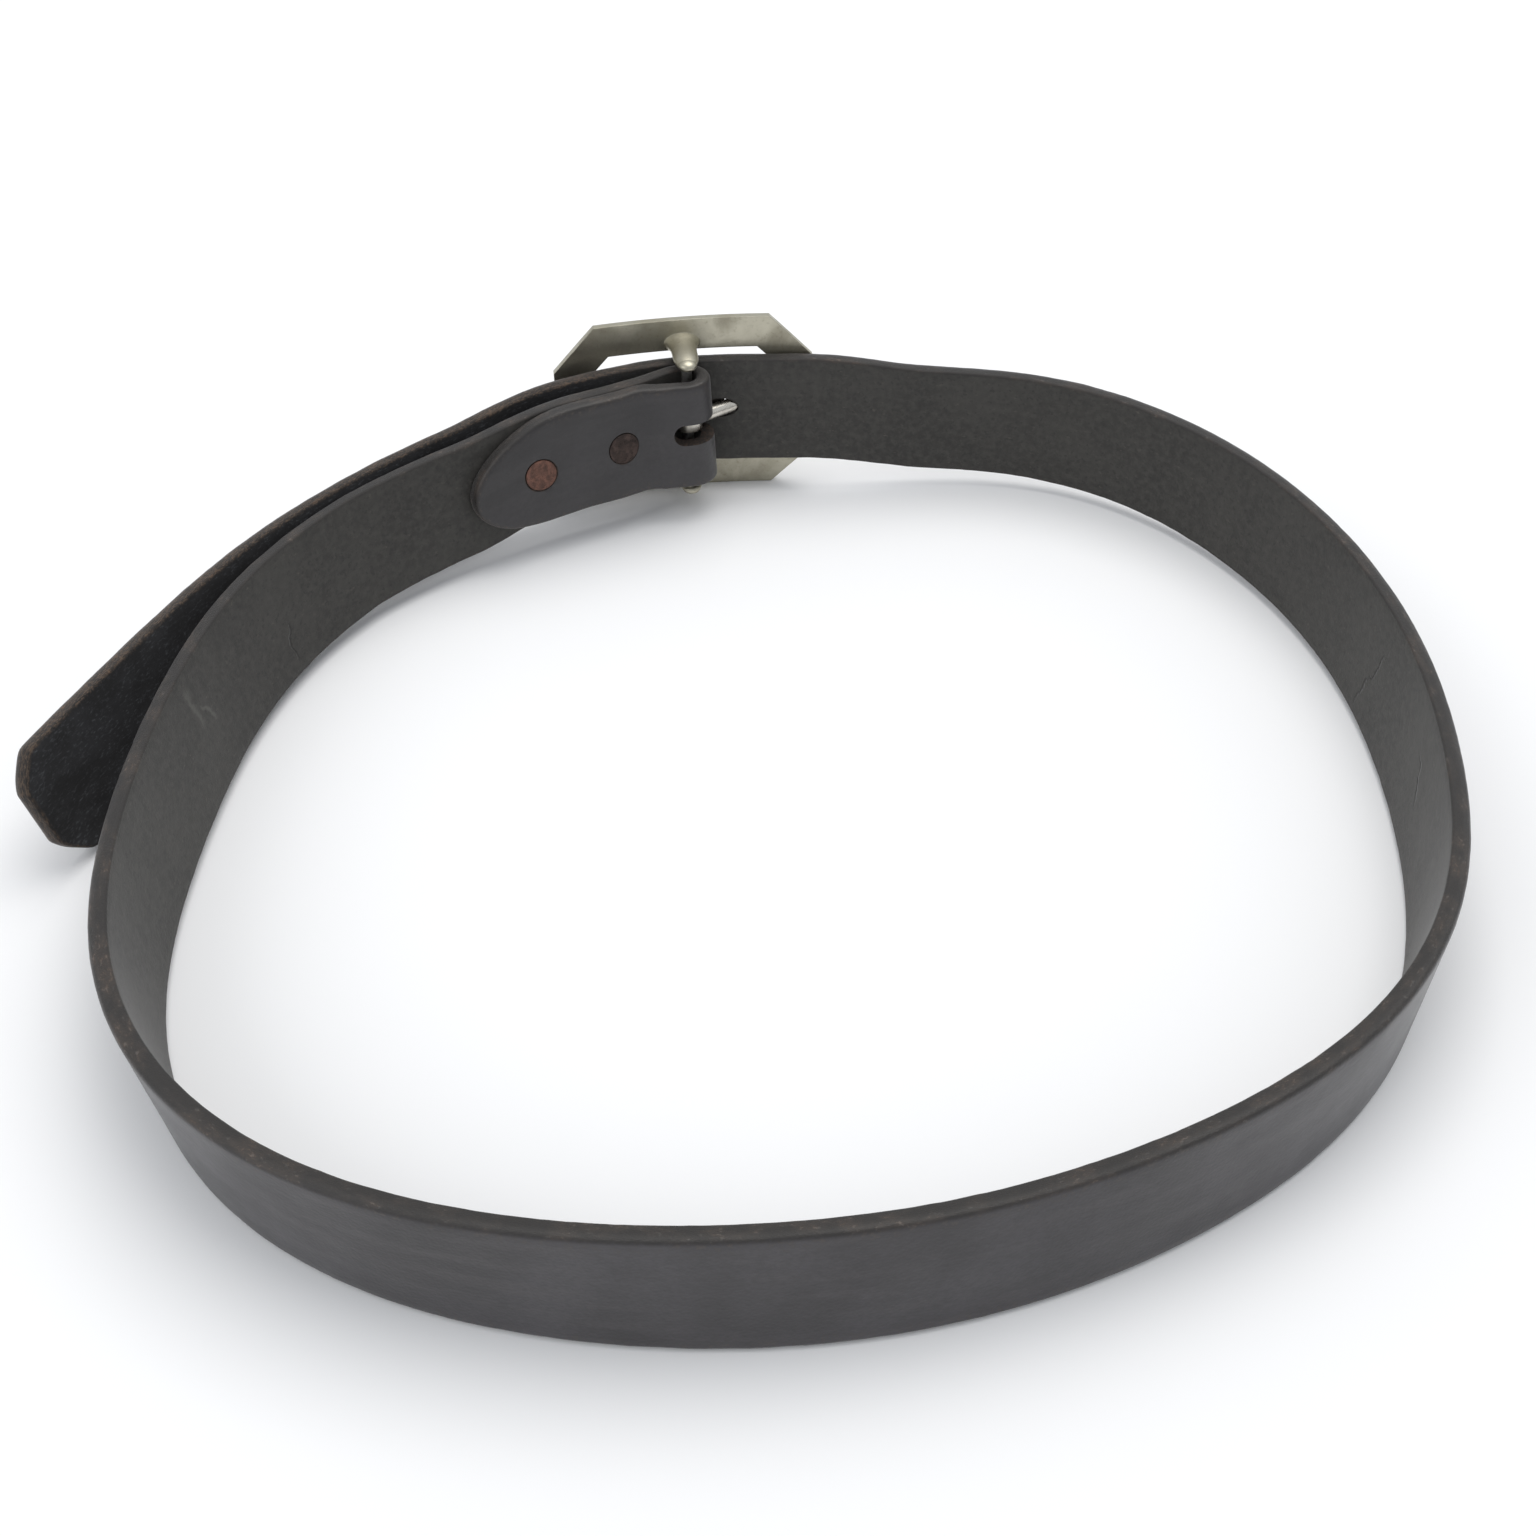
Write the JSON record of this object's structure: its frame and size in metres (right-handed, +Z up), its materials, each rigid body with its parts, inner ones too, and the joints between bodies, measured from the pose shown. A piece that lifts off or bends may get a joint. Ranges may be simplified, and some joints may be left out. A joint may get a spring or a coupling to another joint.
{
  "type": "leather belt",
  "caption": "Dark leather belt buckled into a loop, with an octagonal metal plate buckle, centre bar, prong and a riveted return flap.",
  "frame": {"origin": "bottom centre of the bounding box, on the plane the belt stands on", "axes": "+Z up, the strap's width direction; -Y towards the front of the loop opposite the buckle; the buckle is on the +Y side and faces +Y"},
  "size_m": [0.3628, 0.3262, 0.0581],
  "materials": {
    "strap_leather": "worn satin",
    "buckle_metal": "aged nickel",
    "bar_steel": "satin",
    "prong_metal": "polished by wear",
    "rivet_copper": "tarnished copper"
  },
  "bodies": {
    "strap_body": {"strap": "strap_leather", "rivet_fold": "rivet_copper", "rivet_flap": "rivet_copper", "burr_fold": "rivet_copper", "burr_flap": "rivet_copper"},
    "buckle_body": {"buckle_frame": "buckle_metal", "center_bar": "bar_steel"},
    "prong_body": {"prong": "prong_metal"}
  },
  "joints": [
    {"name": "buckle_swing", "type": "hinge", "parent": "strap_body", "child": "buckle_body", "pos_m": [-0.0178, 0.14196, 0.02968], "axis": [-0.0073, 0.0518, 0.9986], "range_deg": [0, 2]},
    {"name": "prong_swing", "type": "hinge", "parent": "buckle_body", "child": "prong_body", "pos_m": [-0.0178, 0.14196, 0.02968], "axis": [-0.0073, 0.0518, 0.9986], "range_deg": [0, 2]}
  ]
}
